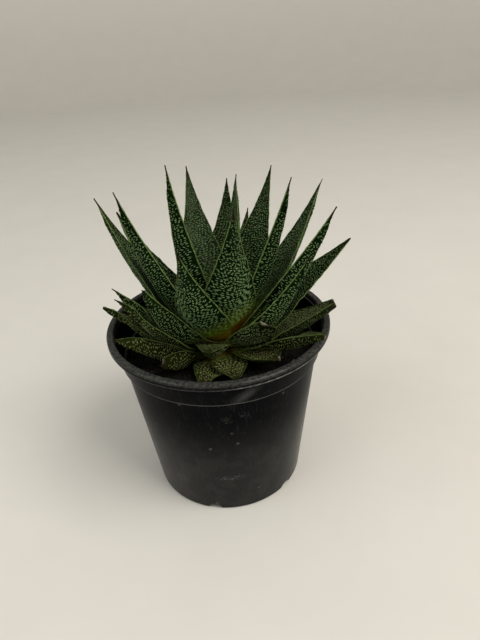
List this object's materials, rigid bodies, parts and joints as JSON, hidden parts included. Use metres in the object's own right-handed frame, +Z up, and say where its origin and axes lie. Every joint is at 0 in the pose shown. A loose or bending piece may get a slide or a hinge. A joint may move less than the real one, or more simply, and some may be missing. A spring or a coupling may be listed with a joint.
{
  "type": "potted gasteria",
  "caption": "Potted succulent: a dense rosette of thick, pointed, warty leaves growing from a short stem in soil, in a round plastic nursery pot.",
  "frame": {"origin": "centre of the pot's base, on the surface that the pot stands on", "axes": "+Z up along the pot's axis; -Y is the front, which the picture is taken from; +X is to its right"},
  "size_m": [0.1389, 0.1371, 0.201],
  "materials": {
    "leaf": "dark green leaf skin with pale raised warts, satin",
    "stem": "yellowish green plant tissue",
    "soil": "dark crumbly peat and bark compost, matt",
    "pot": "black moulded plastic, satin, lightly scuffed"
  },
  "bodies": {
    "root": {"leaf_01": "leaf", "leaf_02": "leaf", "leaf_03": "leaf", "leaf_04": "leaf", "leaf_05": "leaf", "leaf_06": "leaf", "leaf_07": "leaf", "leaf_08": "leaf", "leaf_09": "leaf", "leaf_10": "leaf", "leaf_11": "leaf", "leaf_12": "leaf", "leaf_13": "leaf", "leaf_14": "leaf", "leaf_15": "leaf", "leaf_16": "leaf", "leaf_17": "leaf", "leaf_18": "leaf", "leaf_19": "leaf", "leaf_20": "leaf", "leaf_21": "leaf", "leaf_22": "leaf", "leaf_23": "leaf", "leaf_24": "leaf", "leaf_25": "leaf", "leaf_26": "leaf", "leaf_27": "leaf", "leaf_28": "leaf", "leaf_29": "leaf", "leaf_30": "leaf", "leaf_31": "leaf", "leaf_32": "leaf", "leaf_33": "leaf", "leaf_34": "leaf", "leaf_35": "leaf", "stem": "stem", "soil": "soil", "pot": "pot"}
  },
  "joints": []
}
